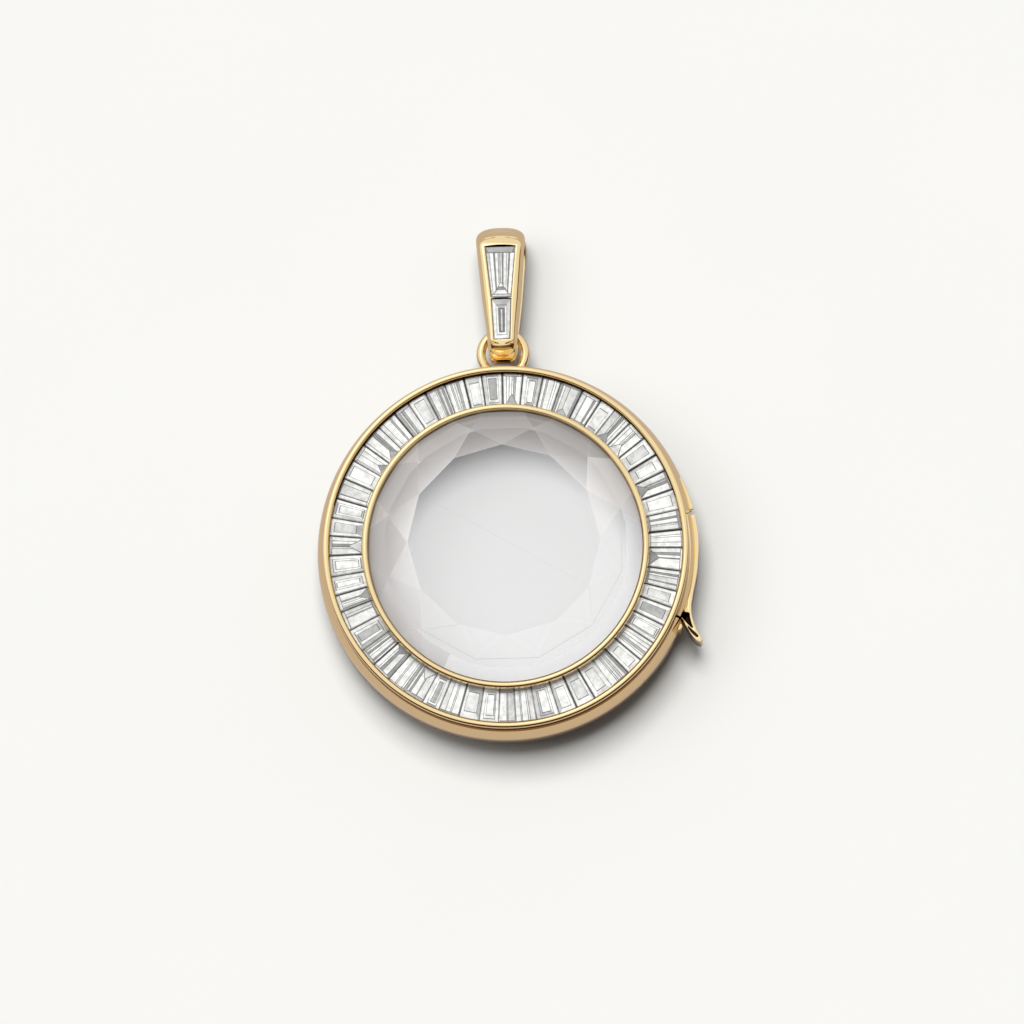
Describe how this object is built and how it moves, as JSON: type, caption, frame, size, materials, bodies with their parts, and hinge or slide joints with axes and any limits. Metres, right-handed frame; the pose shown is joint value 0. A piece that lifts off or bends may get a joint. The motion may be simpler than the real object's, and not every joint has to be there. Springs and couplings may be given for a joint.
{
  "type": "glass locket",
  "caption": "Round gold locket with a domed faceted crystal window, a channel of baguette stones round it, a stone-set swinging bail and a hinged side door with a thumb tab.",
  "frame": {"origin": "centre of the flat back, on the surface that the locket lies on", "axes": "+Z out of the face, +Y to the bail, +X to the side door"},
  "size_m": [0.0252, 0.0345, 0.0091],
  "materials": {
    "gold": "polished",
    "crystal": "polished, clear",
    "stone": "polished, colourless"
  },
  "bodies": {
    "locket_body": {"case": "gold", "halo_bezel": "gold", "front_crystal": "crystal", "back_crystal": "crystal", "halo_stones": "stone", "door_pin": "gold"},
    "bail_body": {"bail": "gold", "bail_stone_large": "stone", "bail_stone_small": "stone"},
    "door_body": {"side_door": "gold"}
  },
  "joints": [
    {"name": "bail_swing", "type": "hinge", "parent": "locket_body", "child": "bail_body", "pos_m": [0, 0.01468, 0.0029], "axis": [1, 0, 0], "range_deg": [-80, 100]},
    {"name": "door_hinge", "type": "hinge", "parent": "locket_body", "child": "door_body", "pos_m": [0.01171, 0.00285, 0.0025], "axis": [0, 0, 1], "range_deg": [0, 75]}
  ]
}
